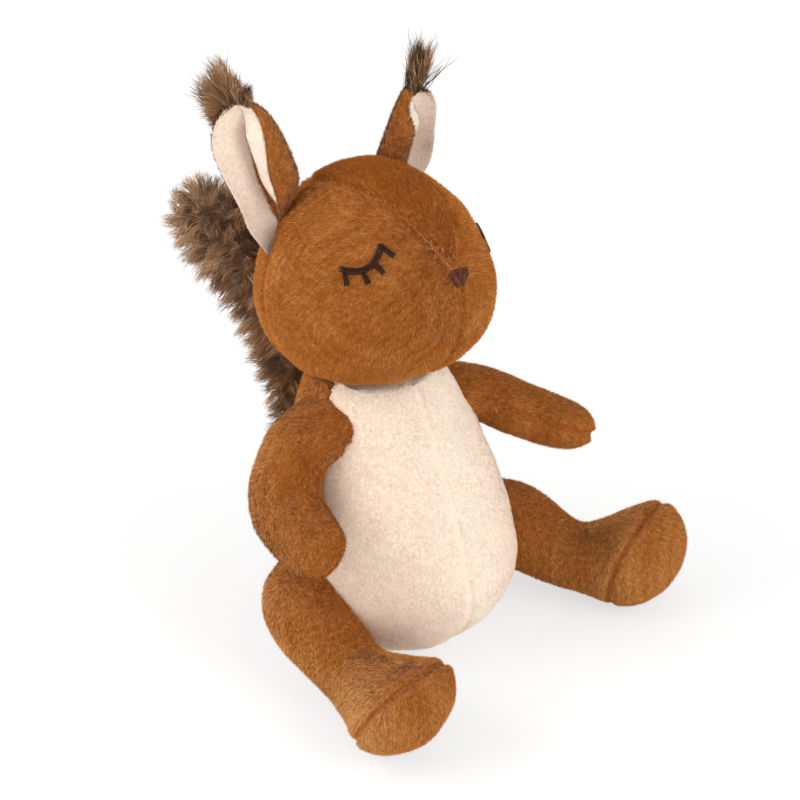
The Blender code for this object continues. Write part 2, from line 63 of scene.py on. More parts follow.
camera = bpy.context.object
camera.name = "viewpoint"
camera.rotation_euler = Matrix((view_right, view_up, towards_viewer)).transposed().to_euler()
camera.data.lens = 125
camera.data.sensor_width = 36
camera.data.clip_start = 0.05
bpy.context.scene.camera = camera
bpy.context.scene.view_settings.view_transform = "Standard"


def soft_lamp(name, place, size, watts):
    """A broad square lamp that points at the middle of the toy."""
    bpy.ops.object.light_add(type="AREA", location=place)
    lamp = bpy.context.object
    lamp.name = name
    lamp.data.size = size
    lamp.data.energy = watts
    toy_middle = Vector((0, 0, 0.09))
    aim = Vector(place) - toy_middle
    lamp.rotation_euler = aim.to_track_quat("Z", "Y").to_euler()


soft_lamp("lamp_right", (0.30, -1.25, 0.80), 0.9, 10.0)
soft_lamp("lamp_left", (-1.05, 0.55, 0.85), 1.1, 14.0)


def preset(node, values):
    """Sets sockets of a shader node to values that are the same all over."""
    for socket, value in values.items():
        node.inputs[socket].default_value = value


room = bpy.data.worlds.new("pale_room")
bpy.context.scene.world = room
room.use_nodes = True
room_nodes = room.node_tree.nodes
room_links = room.node_tree.links
room_light = room_nodes["Background"]
room_seen = room_nodes.new("ShaderNodeBackground")
for background, strength in ((room_light, 0.76), (room_seen, 1.0)):
    preset(background, {"Color": (1, 1, 1, 1), "Strength": strength})
ray = room_nodes.new("ShaderNodeLightPath")
room_mix = room_nodes.new("ShaderNodeMixShader")
seen_share = ray.outputs["Is Camera Ray"]
for other_ray in ("Is Glossy Ray", "Is Transmission Ray"):
    either = room_nodes.new("ShaderNodeMath")
    either.operation = "MAXIMUM"
    room_links.new(seen_share, either.inputs[0])
    room_links.new(ray.outputs[other_ray], either.inputs[1])
    seen_share = either.outputs[0]
room_links.new(seen_share, room_mix.inputs["Fac"])
room_links.new(room_light.outputs[0], room_mix.inputs[1])
room_links.new(room_seen.outputs[0], room_mix.inputs[2])
room_links.new(room_mix.outputs[0], room_nodes["World Output"].inputs["Surface"])


def new_finish(name):
    """A new material with its nodes, its links and its shader."""
    finish = bpy.data.materials.new(name)
    finish.use_nodes = True
    nodes = finish.node_tree.nodes
    return finish, nodes, finish.node_tree.links, nodes["Principled BSDF"]


bpy.ops.mesh.primitive_plane_add(size=8, location=(0, 0, 0))
floor = bpy.context.object
floor.name = "floor"
floor_finish, floor_nodes, floor_links, floor_shader = new_finish("pale_floor")
floor_look = {"Base Color": (0.95, 0.95, 0.95, 1), "Roughness": 0.9, "Specular IOR Level": 0.1}
preset(floor_shader, floor_look)
floor_glow = floor_nodes.new("ShaderNodeEmission")
preset(floor_glow, {"Color": (1, 1, 1, 1)})
floor_ray = floor_nodes.new("ShaderNodeLightPath")
floor_share = floor_nodes.new("ShaderNodeMath")
floor_share.operation = "MULTIPLY"
floor_share.inputs[1].default_value = 0.66
floor_mix = floor_nodes.new("ShaderNodeMixShader")
floor_links.new(floor_ray.outputs["Is Camera Ray"], floor_share.inputs[0])
floor_links.new(floor_share.outputs[0], floor_mix.inputs["Fac"])
floor_links.new(floor_shader.outputs[0], floor_mix.inputs[1])
floor_links.new(floor_glow.outputs[0], floor_mix.inputs[2])
floor_links.new(floor_mix.outputs[0], floor_nodes["Material Output"].inputs["Surface"])
floor.data.materials.append(floor_finish)

# ---------------------------------------------------------------- Body
# The body is a pear of two cream belly panels and two brown back panels over loose fibre,
# with a round brown base. The panels are sewn inside out, so each seam is a fine groove,
# and the pile is brushed down.
MM = 0.001
SKIN_DEPTH = 0.9 * MM
SEWN_REACH = 1.3 * MM
FLOOR_GAP = 0.5 * MM


def alone(thing):
    """Makes this the one selected object and the active one."""
    bpy.ops.object.select_all(action="DESELECT")
    thing.select_set(True)
    bpy.context.view_layer.objects.active = thing


def new_piece(name, mesh):
    thing = bpy.data.objects.new(name, mesh)
    bpy.context.scene.collection.objects.link(thing)
    alone(thing)
    return thing


def piece_from(shape, name):
    """A new piece that takes over the shape of a bmesh."""
    mesh = bpy.data.meshes.new(name)
    shape.to_mesh(mesh)
    shape.free()
    return new_piece(name, mesh)


def shade_smooth(thing):
    faces = thing.data.polygons
    faces.foreach_set("use_smooth", [True] * len(faces))


def copy_of_nodes(name, node_names):
    """One new object that holds a merged copy of the CAD solids of one stuffed form."""
    joined = bmesh.new()
    for node_name in node_names:
        joined.from_mesh(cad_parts[node_name].data)
    bmesh.ops.remove_doubles(joined, verts=joined.verts, dist=0.01 * MM)
    return piece_from(joined, name)


def keep_outside(thing):
    """Removes the small closed pockets that lie between the layers, inside the form."""
    shape = bmesh.new()
    shape.from_mesh(thing.data)
    left = set(shape.verts)
    islands = []
    while left:
        island = [left.pop()]
        for vertex in island:
            for edge in vertex.link_edges:
                other = edge.other_vert(vertex)
                if other in left:
                    left.remove(other)
                    island.append(other)
        islands.append(island)
    islands.sort(key=len)
    inner = [vertex for island in islands[:-1] for vertex in island]
    bmesh.ops.delete(shape, geom=inner, context="VERTS")
    shape.to_mesh(thing.data)
    shape.free()


def tree_of(node_names):
    """A search tree over the surfaces of some CAD solids."""
    spots = []
    faces = []
    for node_name in node_names:
        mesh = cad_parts[node_name].data
        first = len(spots)
        spots.extend(vertex.co.copy() for vertex in mesh.vertices)
        faces.extend([first + corner for corner in face.vertices] for face in mesh.polygons)
    return BVHTree.FromPolygons(spots, faces)


def skin_tree(thing):
    """A search tree over the skin of a new piece."""
    spots = [vertex.co.copy() for vertex in thing.data.vertices]
    return BVHTree.FromPolygons(spots, [face.vertices for face in thing.data.polygons])


def places(mesh, kind="co"):
    found = np.empty(len(mesh.vertices) * 3, np.float32)
    mesh.vertices.foreach_get(kind, found)
    return found.reshape(-1, 3).astype(float)


def ways_out(mesh):
    return places(mesh, "normal")


def move_to(mesh, spots):
    mesh.vertices.foreach_set("co", np.ascontiguousarray(spots, np.float32).ravel())
    mesh.update()


def clear_of_floor(thing):
    """Raises what lies lower than the pile underneath, which the toy sits on."""
    spots = places(thing.data)
    spots[:, 2] = np.maximum(spots[:, 2], FLOOR_GAP)
    move_to(thing.data, spots)


def seams_of(panels):
    """A search tree of places along the seams, where the edges of two panels meet."""
    trees = {panel: tree_of([panel]) for panel in panels}
    found = []
    for panel in panels:
        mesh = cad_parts[panel].data
        others = [tree for name, tree in trees.items() if name != panel]
        sewn = [
            min(tree.find_nearest(vertex.co)[3] for tree in others) < SEWN_REACH
            for vertex in mesh.vertices
        ]
        for edge in mesh.edges:
            start, end = (mesh.vertices[corner].co for corner in edge.vertices)
            if sewn[edge.vertices[0]] and sewn[edge.vertices[1]]:
                count = max(1, round((end - start).length / (0.5 * MM)))
                found.extend(start.lerp(end, number / count) for number in range(count + 1))
    seams = KDTree(len(found))
    for place, spot in enumerate(found):
        seams.insert(spot, place)
    seams.balance()
    return seams


def seam_distance(spots, seams):
    """How far each place on the cloth is from the nearest seam, measured along the cloth."""
    if seams is None:
        return np.full(len(spots), 1.0)
    seam_below = 1.0 * MM
    gaps = np.array([seams.find(Vector(spot))[2] for spot in spots])
    return np.sqrt(np.maximum(gaps**2 - seam_below**2, 0))


def finished(thing, modifier):
    alone(thing)
    bpy.ops.object.modifier_apply(modifier=modifier.name)


def fill_with_fibre(thing, held, reach):
    """Blows the cloth up a little from inside, held still where it is sewn, as stuffing does."""
    frames = 20
    before = places(thing.data)
    group = thing.vertex_groups.new(name="sewn")
    for place, share in enumerate(held):
        if share > 0.01:
            group.add([place], float(share), "REPLACE")
    cloth = thing.modifiers.new("fibre", "CLOTH")
    woven = cloth.settings
    woven.quality = 6
    woven.mass = 0.12
    woven.tension_stiffness = 12
    woven.compression_stiffness = 12
    woven.bending_stiffness = 0.3
    woven.use_pressure = True
    woven.uniform_pressure_force = 4
    woven.vertex_group_mass = group.name
    woven.effector_weights.gravity = 0
    cloth.collision_settings.use_collision = False
    cloth.point_cache.frame_start = 1
    cloth.point_cache.frame_end = frames
    for moment in range(1, frames + 1):
        bpy.context.scene.frame_set(moment)
    finished(thing, cloth)
    bpy.context.scene.frame_set(1)
    moved = places(thing.data) - before
    distance = np.linalg.norm(moved, axis=1, keepdims=True)
    moved *= np.minimum(1, reach / np.maximum(distance, 1e-9))
    move_to(thing.data, before + moved)
    thing.vertex_groups.clear()


def sink_into(thing, tree, reach, depth):
    """Moves what lies close to the neighbour's cloth into it, so that the join is closed."""
    spots = places(thing.data)
    for place, spot in enumerate(spots):
        near, way, _, distance = tree.find_nearest(Vector(spot))
        if distance < reach:
            inside = (Vector(spot) - near).dot(way) < 0
            share = 1 if inside else 1 - distance / reach
            spots[place] -= np.array(way) * depth * share
    move_to(thing.data, spots)


def relax(thing, rounds):
    even = thing.modifiers.new("even", "SMOOTH")
    even.factor = 0.6
    even.iterations = rounds
    finished(thing, even)


def one_skin(thing, grain, rounds):
    """Makes what overlaps or lies inside one even outer skin, with faces of the grain's size."""
    thing.data.remesh_voxel_size = grain
    bpy.ops.object.voxel_remesh()
    keep_outside(thing)
    relax(thing, rounds)


def finer(thing):
    halved = thing.modifiers.new("finer", "SUBSURF")
    halved.levels = 1
    halved.render_levels = 1
    finished(thing, halved)


def form_of(name, node_names, grain, rounds=8):
    """One smooth closed skin round some CAD solids."""
    thing = copy_of_nodes(name, node_names)
    one_skin(thing, grain, rounds)
    return thing


def stuffed(thing, panels, groove_depth):
    """Stuffs a form and presses a groove along each of its seams: returns the seams."""
    seams = seams_of(panels)
    held = np.clip(1.4 - seam_distance(places(thing.data), seams) / (2.6 * MM), 0, 1)
    fill_with_fibre(thing, held, 1.3 * MM)
    finer(thing)
    spots = places(thing.data)
    away = seam_distance(spots, seams)
    groove = groove_depth * np.exp(-((away / (1.0 * MM)) ** 2))
    ridge = 0.35 * groove_depth * np.exp(-(((away - 3.0 * MM) / (1.6 * MM)) ** 2))
    lumps = 0.28 * MM * ripple(spots, 22 * MM, len(panels))
    rise = ridge - groove + lumps - SKIN_DEPTH
    move_to(thing.data, spots + ways_out(thing.data) * rise[:, None])
    shade_smooth(thing)
    return seams


def ripple(points, wavelength, seed):
    """A smooth random value, about -1 to 1, that rises and falls over the wavelength."""
    waves = np.random.default_rng(seed)
    total = np.zeros(len(points))
    for _ in range(6):
        way = waves.normal(size=3)
        way *= math.tau / wavelength / np.linalg.norm(way) * waves.uniform(0.6, 1.5)
        total += np.sin(points @ way + waves.uniform(0, math.tau))
    return total / 2.6


def unit(vectors):
    return vectors / np.maximum(np.linalg.norm(vectors, axis=1, keepdims=True), 1e-12)


def dot(ones, others):
    return np.sum(ones * others, axis=1, keepdims=True)


def roots_on(thing, per_mm2, seed):
    """Random places on a piece, with the way out at each."""
    mesh = thing.data
    mesh.calc_loop_triangles()
    faces = np.empty(len(mesh.loop_triangles) * 3, np.int32)
    mesh.loop_triangles.foreach_get("vertices", faces)
    faces = faces.reshape(-1, 3)
    spots = places(mesh)
    outs = ways_out(mesh)
    first, second, third = (spots[faces[:, corner]] for corner in range(3))
    areas = np.linalg.norm(np.cross(second - first, third - first), axis=1) / 2
    chance = np.random.default_rng(seed)
    count = int(areas.sum() * 1e6 * per_mm2)
    picked = faces[chance.choice(len(faces), count, p=areas / areas.sum())]
    one = np.sqrt(chance.random(count))[:, None]
    two = chance.random(count)[:, None]
    shares = np.hstack((1 - one, one * (1 - two), one * two))

    def blend(values):
        return sum(values[picked[:, corner]] * shares[:, corner, None] for corner in range(3))

    return blend(spots), unit(blend(outs)), chance


def hairs(name, chains, sides, outs, tones, half_widths):
    """One mesh of flat tapering hairs. A chain holds each hair's places from root to tip.

    The UV of a hair holds its tone across and the way from root to tip upwards.
    """
    count, places_each, _ = chains.shape
    last = places_each - 1
    spread = sides[:, None, :] * np.array(half_widths)[None, :, None]
    lefts = chains[:, :last] - spread
    rights = chains[:, :last] + spread
    pairs = np.stack((lefts, rights), axis=2).reshape(count, 2 * last, 3)
    spots = np.concatenate((pairs, chains[:, last:]), axis=1)
    lowest_hair = 0.3 * MM
    spots[:, :, 2] = np.maximum(spots[:, :, 2], lowest_hair)
    per_hair = 2 * last + 1
    corners = []
    for low in range(0, 2 * last - 2, 2):
        corners.extend((low, low + 1, low + 3, low + 2))
    corners.extend((2 * last - 2, 2 * last - 1, 2 * last))
    sizes = [4] * (last - 1) + [3]
    offsets = np.arange(count, dtype=np.int32)[:, None] * per_hair
    loops = (offsets + np.array(corners, np.int32)[None]).ravel()
    totals = np.tile(np.array(sizes, np.int32), count)
    starts = np.concatenate(([0], np.cumsum(totals)[:-1])).astype(np.int32)
    mesh = bpy.data.meshes.new(name)
    mesh.vertices.add(count * per_hair)
    mesh.vertices.foreach_set("co", spots.astype(np.float32).ravel())
    mesh.loops.add(len(loops))
    mesh.loops.foreach_set("vertex_index", loops)
    mesh.polygons.add(len(totals))
    mesh.polygons.foreach_set("loop_start", starts)
    mesh.polygons.foreach_set("use_smooth", np.ones(len(totals), bool))
    along = np.concatenate((np.repeat(np.arange(last) / last, 2), [1.0])) * 0.96 + 0.02
    aside = np.concatenate((np.tile((-0.006, 0.006), last), [0.0]))
    tone_at = np.clip(tones, 0.02, 0.98)[:, None] + aside[None]
    both = np.stack((tone_at, np.broadcast_to(along, tone_at.shape)), axis=2).reshape(-1, 2)
    layer = mesh.uv_layers.new(name="OFBake")
    layer.data.foreach_set("uv", both[loops].astype(np.float32).ravel())
    mesh.update(calc_edges=True)
    mesh.normals_split_custom_set_from_vertices(np.repeat(outs, per_hair, axis=0))
    return new_piece(name, mesh)


def pile(name, thing, seams, grown, flow, seed, keep=None, shade=None):
    """Short pile on a form: grown is (hairs per mm2, length, half width, lift in degrees).

    Flow gives the way that it is brushed, keep the roots that are grown and shade their tone.
    """
    per_mm2, length, half_width, lift = grown
    roots, outs, chance = roots_on(thing, per_mm2, seed)
    if keep is not None:
        kept = keep(roots)
        roots, outs = roots[kept], outs[kept]
    away = seam_distance(roots, seams)
    lie = flow(roots)
    lie = unit(lie - outs * dot(lie, outs))
    across = np.cross(outs, lie)
    swirl = np.radians(10 * ripple(roots, 0.020, seed + 1) + 13 * chance.normal(size=len(roots)))
    lie = lie * np.cos(swirl)[:, None] + across * np.sin(swirl)[:, None]
    wavy_lift = lift + 0.14 * lift * ripple(roots, 0.012, seed + 2)
    rise = np.radians(wavy_lift + 8 * chance.normal(size=len(roots)))
    rise = np.clip(rise, math.radians(12), math.radians(75))[:, None]
    ahead = lie * np.cos(rise) + outs * np.sin(rise)
    side = unit(np.cross(outs, ahead))
    roll = np.radians(24 * chance.normal(size=len(roots)))[:, None]
    lifted = np.cross(ahead, side)
    side = side * np.cos(roll) + lifted * np.sin(roll)
    near_seam = np.exp(-((away / (0.7 * MM)) ** 2))
    long = length * chance.uniform(0.75, 1.2, len(roots)) * (1 - 0.35 * near_seam)
    start = roots - outs * 0.15 * MM
    chains = np.stack((start, start + ahead * long[:, None]), axis=1)
    facing = unit(np.cross(ahead, side))
    facing *= np.sign(dot(facing, outs))
    shown = unit(0.62 * outs + 0.38 * facing)
    tones = 0.5 + 0.07 * ripple(roots, 0.017, seed + 3) + 0.13 * ripple(roots, 0.0024, seed + 4)
    # Hairs near a seam are darker: painted shade in the groove of the seam.
    tones += 0.20 * chance.normal(size=len(roots)) - 0.42 * near_seam
    if shade is not None:
        tones += shade(roots)
    side *= np.sign(dot(np.cross(ahead, side), outs))
    return hairs(name, chains, -side, shown, tones, (half_width,))


def tone_group():
    """Colour of a hair from its tone, dark to light, and darker towards its root by painted shade.
    """
    group = bpy.data.node_groups.new("hair_tone", "ShaderNodeTree")
    for socket in ("Dark", "Middle", "Light"):
        group.interface.new_socket(socket, in_out="INPUT", socket_type="NodeSocketColor")
    group.interface.new_socket("Root Shade", in_out="INPUT", socket_type="NodeSocketFloat")
    group.interface.new_socket("Colour", in_out="OUTPUT", socket_type="NodeSocketColor")
    nodes = group.nodes
    links = group.links
    given = nodes.new("NodeGroupInput")
    result = nodes.new("NodeGroupOutput")
    place = nodes.new("ShaderNodeUVMap")
    place.uv_map = "OFBake"
    split = nodes.new("ShaderNodeSeparateXYZ")
    links.new(place.outputs["UV"], split.inputs[0])

    def part_of(axis, start, end):
        part = nodes.new("ShaderNodeMapRange")
        preset(part, {"From Min": start, "From Max": end})
        links.new(split.outputs[axis], part.inputs["Value"])
        return part

    def mixed(one, other):
        mix = nodes.new("ShaderNodeMix")
        mix.data_type = "RGBA"
        links.new(one, mix.inputs["A"])
        links.new(other, mix.inputs["B"])
        return mix

    dark_half = mixed(given.outputs["Dark"], given.outputs["Middle"])
    links.new(part_of("X", 0.0, 0.5).outputs[0], dark_half.inputs["Factor"])
    both_halves = mixed(dark_half.outputs["Result"], given.outputs["Light"])
    links.new(part_of("X", 0.5, 1.0).outputs[0], both_halves.inputs["Factor"])
    # Painted shade deep in the pile: the colour falls to Root Shade at the root.
    depth = part_of("Y", 0.0, 0.7)
    links.new(given.outputs["Root Shade"], depth.inputs["To Min"])
    deep = mixed(both_halves.outputs["Result"], depth.outputs[0])
    deep.blend_type = "MULTIPLY"
    preset(deep, {"Factor": 1.0})
    links.new(deep.outputs["Result"], result.inputs["Colour"])
    return group


hair_tone = tone_group()


def hair_finish(name, dark, middle, light, root_shade, sheen, roughness=0.7):
    """Material of hairs: three tones of one colour, a soft sheen, and lit alike from both sides."""
    finish, nodes, links, shader = new_finish(name)
    tone = nodes.new("ShaderNodeGroup")
    tone.node_tree = hair_tone
    preset(tone, {"Dark": (*dark, 1), "Middle": (*middle, 1), "Light": (*light, 1)})
    preset(tone, {"Root Shade": root_shade})
    links.new(tone.outputs["Colour"], shader.inputs["Base Color"])
    seen = nodes.new("ShaderNodeNewGeometry")
    turn_round = nodes.new("ShaderNodeMapRange")
    preset(turn_round, {"To Min": 1.0, "To Max": -1.0})
    outward = nodes.new("ShaderNodeVectorMath")
    outward.operation = "SCALE"
    links.new(seen.outputs["Backfacing"], turn_round.inputs["Value"])
    links.new(seen.outputs["Normal"], outward.inputs[0])
    links.new(turn_round.outputs[0], outward.inputs["Scale"])
    links.new(outward.outputs["Vector"], shader.inputs["Normal"])
    preset(shader, {"Roughness": roughness, "Specular IOR Level": 0.05, "Sheen Weight": sheen})
    preset(shader, {"Sheen Roughness": 0.45, "Sheen Tint": (*light, 1)})
    return finish


def two_tones(parts, scale, detail, stops):
    """Mottles the base colour of a finish between two stops, each (position, colour)."""
    _, nodes, links, shader = parts
    where = nodes.new("ShaderNodeTexCoord")
    mottle = nodes.new("ShaderNodeTexNoise")
    preset(mottle, {"Scale": scale, "Detail": detail})
    links.new(where.outputs["Object"], mottle.inputs["Vector"])
    tint = nodes.new("ShaderNodeValToRGB")
    for element, (position, colour) in zip(tint.color_ramp.elements, stops):
        element.position = position
        element.color = (*colour, 1)
    links.new(mottle.outputs["Fac"], tint.inputs["Fac"])
    links.new(tint.outputs["Color"], shader.inputs["Base Color"])
    return mottle


def ground_finish(name, colour, scale):
    """Material of the knitted ground under the pile: mottled, with a fine bump."""
    finish, nodes, links, shader = parts = new_finish(name)
    darker = [part * 0.82 for part in colour]
    mottle = two_tones(parts, scale, 4, ((0.3, darker), (0.7, colour)))
    nap = nodes.new("ShaderNodeBump")
    preset(nap, {"Strength": 0.5, "Distance": 0.4 * MM})
    links.new(mottle.outputs["Fac"], nap.inputs["Height"])
    links.new(nap.outputs["Normal"], shader.inputs["Normal"])
    preset(shader, {"Roughness": 0.9, "Sheen Weight": 0.2})
    return finish


brown_ground = ground_finish("brown_ground", (0.40, 0.12, 0.018), 900)
cream_ground = ground_finish("cream_ground", (0.95, 0.77, 0.61), 900)
brown_pile = hair_finish(
    "brown_pile", (0.27, 0.064, 0.005), (0.43, 0.135, 0.018), (0.68, 0.32, 0.105), 0.72, 0.40
)
cream_pile = hair_finish(
    "cream_pile", (0.94, 0.67, 0.51), (0.98, 0.75, 0.59), (0.99, 0.90, 0.73), 0.97, 0.10
)


def add_finish(thing, finish):
    """Gives a piece its material and slot, and lets it ride on the one body."""
    thing.data.materials.clear()
    thing.data.materials.append(finish)
    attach(thing, "root")


def down(roots):
    return np.tile((0.0, 0.0, -1.0), (len(roots), 1))


belly_panels = ["belly_left", "belly_right"]
back_panels = ["back_left", "back_right", "seat_base"]
body_panels = belly_panels + back_panels
cheek_panels = ["head_cheek_left", "head_cheek_right", "head_back_left", "head_back_right"]
head_panels = ["head_forehead", *cheek_panels]
body_form = form_of("body_form", [*body_panels, "body_filling"], 2.75 * MM)
body_seams = stuffed(body_form, body_panels, 0.45 * MM)
sink_into(body_form, tree_of(head_panels), 3 * MM, 3 * MM)
clear_of_floor(body_form)
belly_tree = tree_of(belly_panels)
back_tree = tree_of(back_panels)


def nearer(spots, tree, other_tree):
    """True for each place that lies nearer to the first tree's surfaces than to the other's."""
    spots = [Vector(spot) for spot in spots]
    found = [tree.find_nearest(spot)[3] < other_tree.find_nearest(spot)[3] for spot in spots]
    return np.array(found)


def on_belly(spots):
    return nearer(spots, belly_tree, back_tree)


def on_back(spots):
    return ~on_belly(spots)


def painted_lit_middle(roots):
    """Painted light: the belly is paler along its middle, where the lamps fall on it, and darker
    and pinker towards its sides.
    """
    middle_x = 6 * MM
    return 0.55 * np.exp(-(((roots[:, 0] - middle_x) / 0.013) ** 2)) - 0.15


BELLY_GROWN = (8.8, 1.2 * MM, 0.14 * MM, 16)
BACK_GROWN = (5.2, 1.9 * MM, 0.185 * MM, 38)
belly_pile = pile(
    "belly_pile", body_form, body_seams, BELLY_GROWN, down,
    seed=11, keep=on_belly, shade=painted_lit_middle,
)
add_finish(belly_pile, cream_pile)
back_pile = pile("back_pile", body_form, body_seams, BACK_GROWN, down, seed=12, keep=on_back)
add_finish(back_pile, brown_pile)

for piece_name, is_belly in (("belly_cloth", True), ("back_cloth", False)):
    shape = bmesh.new()
    shape.from_mesh(body_form.data)
    shape.verts.ensure_lookup_table()
    chosen = on_belly(places(body_form.data))
    other = [
        face
        for face in shape.faces
        if (np.mean([chosen[vertex.index] for vertex in face.verts]) >= 0.5) != is_belly
    ]
    bmesh.ops.delete(shape, geom=other, context="FACES")
    cloth_piece = piece_from(shape, piece_name)
    thick = cloth_piece.modifiers.new("thick", "SOLIDIFY")
    thick.thickness = 1.0 * MM
    thick.offset = -1
    finished(cloth_piece, thick)
    if is_belly:
        add_finish(cloth_piece, cream_ground)
        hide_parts("belly_left", "belly_right")
    else:
        add_finish(cloth_piece, brown_ground)
        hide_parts("back_left", "back_right", "seat_base", "body_filling")
body_tree = skin_tree(body_form)
bpy.data.objects.remove(body_form)

# ---------------------------------------------------------------- Head
# The head is a ball of five brown panels: a forehead gusset from the nose up and back, two
# cheeks that meet under the chin, and two pieces behind the ears. Its pile is brushed back
# and down from the nose.
nose_tip = np.array((0.0071, -0.0237, 0.1529))
nose_right = np.array((0.984, 0.111, -0.141))
nose_out = np.array((0.168, -0.848, 0.503))
nose_up = np.array((0.064, 0.519, 0.853))
# For each eye, in mm: the arc of the lid and then its four lashes.
eye_lines = {
    "eye_right": (
        ((-15.25, -9.17, 166.96), (-17.34, -10.36, 164.72), (-19.33, -10.86, 162.81),
         (-21.26, -10.69, 161.29), (-23.14, -9.86, 160.16), (-24.97, -8.38, 159.43),
         (-26.73, -6.22, 159.06), (-28.36, -3.35, 159.02)),
        ((-15.85, -9.41, 166.42), (-13.74, -13.74, 164.03)),
        ((-19.94, -10.72, 162.42), (-18.94, -14.65, 159.49)),
        ((-23.91, -9.18, 159.94), (-24.01, -12.67, 156.41)),
        ((-27.8, -4.27, 159.12), (-29.05, -7.27, 154.91)),
    ),
    "eye_left": (
        ((38.93, 5.42, 145.27), (38.24, 2.22, 145.61), (37.37, -0.34, 146.36),
         (36.4, -2.27, 147.54), (35.35, -3.58, 149.17), (34.23, -4.27, 151.26),
         (33.01, -4.33, 153.78), (31.64, -3.75, 156.72)),
        ((38.75, 4.62, 145.45), (39.17, 2.07, 140.8)),
        ((37.09, -0.85, 146.81), (36.92, -4.11, 143.04)),
        ((34.91, -3.78, 150.11), (34.1, -7.78, 147.24)),
        ((32.14, -3.87, 155.77), (30.61, -8.63, 153.86)),
    ),
}


def on_curve(spots, share):
    """A place on the smooth curve through the spots, share of the way along."""
    where = share * (len(spots) - 1)
    first = min(int(where), len(spots) - 2)
    part = where - first
    before = spots[max(first - 1, 0)]
    start = spots[first]
    end = spots[first + 1]
    after = spots[min(first + 2, len(spots) - 1)]
    return 0.5 * (
        2 * start
        + (end - before) * part
        + (2 * before - 5 * start + 4 * end - after) * part**2
        + (3 * start - before - 3 * end + after) * part**3
    )


def from_mm(spots):
    return [Vector(part * MM for part in spot) for spot in spots]


def dense_line(spots, step):
    """Places a step apart along a smooth line through the spots, which are given in mm."""
    spots = from_mm(spots)
    length = sum((end - start).length for start, end in zip(spots, spots[1:]))
    count = max(2, round(length / step))
    return [on_curve(spots, number / count) for number in range(count + 1)]


stitched = np.array(
    [
        spot
        for lines in eye_lines.values()
        for line in lines
        for spot in dense_line(line, 0.6 * MM)
    ]
)
NOSE_HALF_WIDTH = 3.9 * MM
NOSE_TOP = 2.9 * MM
NOSE_FOOT = 4.0 * MM


def nearest_of(roots, spots):
    """Which of the spots is nearest to each root, and how far away it is."""
    at_a_time = 4000
    nearest = []
    gaps = []
    for start in range(0, len(roots), at_a_time):
        part = roots[start : start + at_a_time, None]
        apart = np.linalg.norm(part - spots[None], axis=2)
        nearest.append(apart.argmin(axis=1))
        gaps.append(apart.min(axis=1))
    return np.concatenate(nearest), np.concatenate(gaps)


def off_embroidery(roots):
    """True for roots that lie clear of the stitched eyes and nose."""
    line_room = 1.15 * MM
    _, gaps = nearest_of(roots, stitched)
    local = roots - nose_tip
    aside = np.abs(local @ nose_right)
    rise = local @ nose_up
    share = (rise + NOSE_FOOT) / (NOSE_FOOT + NOSE_TOP)
    on_nose = (share > 0) & (share < 1.05) & (aside < NOSE_HALF_WIDTH * share)
    on_nose &= local @ nose_out > -8 * MM
    return (gaps > line_room) & ~on_nose


forehead_tree = tree_of(["head_forehead"])
cheek_tree = tree_of(cheek_panels)


def on_forehead(spots):
    """1 for each place on the gusset of the forehead, 0 for the rest of the head."""
    return nearer(spots, forehead_tree, cheek_tree).astype(float)


def from_nose(roots):
    """The pile lies down the cheeks and straight back over the forehead."""
    away = unit(roots - nose_tip)
    away[:, 2] -= 1.3 * (1 - on_forehead(roots))
    return away


def darker_forehead(roots):
    return -0.10 - 0.30 * on_forehead(roots)


HEAD_GROWN = (7.7, 1.7 * MM, 0.16 * MM, 36)
head_cloth = form_of("head_cloth", [*head_panels, "head_filling"], 2.6 * MM)
head_seams = stuffed(head_cloth, head_panels, 0.8 * MM)
head_pile = pile(
    "head_pile", head_cloth, head_seams, HEAD_GROWN, from_nose,
    seed=21, keep=off_embroidery, shade=darker_forehead,
)
add_finish(head_pile, brown_pile)
add_finish(head_cloth, brown_ground)
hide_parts(*head_panels, "head_filling")

# ---------------------------------------------------------------- Arms and legs
# Each arm is an upper and an under piece of brown plush, sewn along both edges and round the
# paw. Each leg is one wrapped piece with a round sole sewn in, over fibre. Both are closed,
# stuffed and then sewn to the body, and their pile runs towards paw and sole.
ARM_WIDTHS = (31 * MM, 28 * MM, 28 * MM, 25 * MM)
LEG_WIDTHS = (29.7 * MM, 33 * MM, 26.5 * MM, 43 * MM)
ARM_END = 11.5 * MM
LEG_END = 17 * MM
# For each limb: its panels, its path in mm, and the widths, flatness, outer side and end that
# limb_rings takes.
limbs = {
    "arm_right": (
        ["arm_right_outer", "arm_right_inner"],
        ((-19.1, 9.7, 90), (-37.1, 9.7, 86),
         (-48.3, 3.3, 71.2), (-51.9, -18.5, 65)),
        (ARM_WIDTHS, 0.75, (-0.6, 0, 0.8), ARM_END, None),
    ),
    "arm_left": (
        ["arm_left_outer", "arm_left_inner"],
        ((19.1, 10.7, 85), (36.1, 4.7, 83),
         (49.1, -7.3, 76), (61.1, -18.3, 70.6)),
        (ARM_WIDTHS, 0.75, (0.6, 0, 0.8), ARM_END, None),
    ),
    "leg_right": (
        ["leg_right_skin", "leg_right_sole"],
        ((-31.4, 6, 29), (-44.6, -4, 28),
         (-44.4, -33, 15), (-46.4, -59, 21.7)),
        (LEG_WIDTHS, 1.0, (0, 0, 1), LEG_END, (0.14, -0.84, -0.50)),
    ),
    "leg_left": (
        ["leg_left_skin", "leg_left_sole"],
        ((31.4, 6, 26), (48.9, -2.5, 24),
         (62.9, -24.5, 15), (76.9, -42.5, 21.7)),
        (LEG_WIDTHS, 1.0, (0, 0, 1), LEG_END, (0.34, -0.91, -0.22)),
    ),
}


